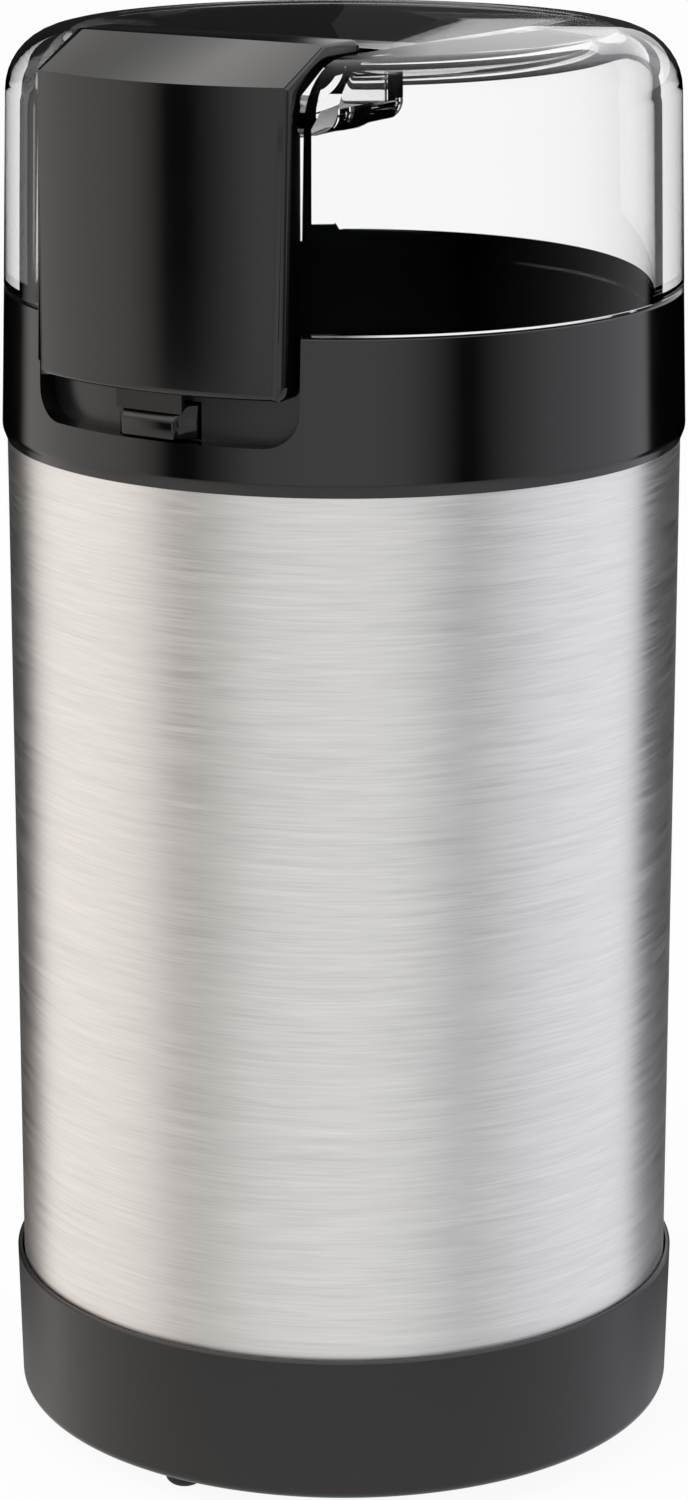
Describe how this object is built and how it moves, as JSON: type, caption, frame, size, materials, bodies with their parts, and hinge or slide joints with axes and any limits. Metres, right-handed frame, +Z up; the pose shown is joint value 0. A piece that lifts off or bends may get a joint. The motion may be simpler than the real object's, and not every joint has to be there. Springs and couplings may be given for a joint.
{
  "type": "electric coffee grinder",
  "caption": "Cylindrical blade coffee grinder with a steel body, a clear lift-off lid and a black panel pressed down to run it.",
  "frame": {"origin": "centre of the ring of feet, on the surface that the feet stand on", "axes": "+Z up along the drive shaft, -Y towards the press panel at the front, +Y towards the cord inlet"},
  "size_m": [0.0918, 0.0924, 0.1933],
  "materials": {
    "brushed_steel_sleeve": "brushed",
    "gloss_black_plastic": "gloss",
    "matte_black_plastic": "matte",
    "clear_plastic": "clear gloss",
    "black_rubber": "matte",
    "stainless_steel": "polished",
    "spring_steel": "polished",
    "zinc_plated_steel": "satin",
    "aluminium_plate": "satin",
    "lamination_steel": "satin",
    "copper_winding": "varnished",
    "sintered_bronze": "satin",
    "brown_phenolic": "matte",
    "carbon": "matte",
    "white_nylon": "satin",
    "yellow_film": "satin"
  },
  "bodies": {
    "housing": {"base_housing": "matte_black_plastic", "rubber_feet": "black_rubber", "base_screws": "zinc_plated_steel", "cord_bush": "black_rubber", "body_tube": "brushed_steel_sleeve", "collar": "gloss_black_plastic", "grinding_bowl": "stainless_steel", "bowl_cushion": "black_rubber", "shaft_seal": "black_rubber", "motor_carrier": "matte_black_plastic", "carrier_screws": "zinc_plated_steel", "vibration_mounts": "black_rubber", "mount_screws": "zinc_plated_steel", "upper_bracket": "aluminium_plate", "upper_bearing": "zinc_plated_steel", "lower_bracket": "aluminium_plate", "lower_bearing": "sintered_bronze", "stator_core": "lamination_steel", "field_coils": "copper_winding", "motor_spacers": "aluminium_plate", "motor_screws": "zinc_plated_steel", "brush_holders": "brown_phenolic", "carbon_brushes": "carbon", "brush_springs": "spring_steel", "capacitor": "yellow_film", "switch_body": "brown_phenolic"},
    "rotor": {"drive_shaft": "zinc_plated_steel", "blade_hub": "matte_black_plastic", "blade": "stainless_steel", "blade_nut": "zinc_plated_steel", "rotor_core": "lamination_steel", "rotor_winding": "copper_winding", "commutator": "copper_winding", "cooling_fan": "white_nylon"},
    "tab": {"switch_tab": "gloss_black_plastic"},
    "pushrod": {"switch_pushrod": "white_nylon", "switch_plunger": "white_nylon"},
    "lid": {"lid": "clear_plastic", "panel_springs": "spring_steel"},
    "panel": {"press_panel": "gloss_black_plastic", "panel_screws": "zinc_plated_steel"}
  },
  "joints": [
    {"name": "lid_lift", "type": "slide", "parent": "housing", "child": "lid", "axis": [0, 0, 1], "range_m": [0, 0.06]},
    {"name": "panel_press", "type": "slide", "parent": "lid", "child": "panel", "axis": [0, 0, -1], "range_m": [0, 0.0022], "stiffness_N_per_m": 900, "springref_m": -0.002, "deforming": ["panel_springs"]},
    {"name": "tab_slide", "type": "slide", "parent": "housing", "child": "tab", "axis": [0, 1, 0], "range_m": [0, 0.0022]},
    {"name": "rod_push", "type": "slide", "parent": "housing", "child": "pushrod", "axis": [0, 0, -1], "range_m": [0, 0.0022]},
    {"name": "rotor_spin", "type": "hinge", "parent": "housing", "child": "rotor", "pos_m": [0, 0, 0.09], "axis": [0, 0, 1], "continuous": true}
  ],
  "couplings": [
    {"joint": "tab_slide", "follows": "panel_press", "ratio": 1},
    {"joint": "rod_push", "follows": "panel_press", "ratio": 1}
  ]
}
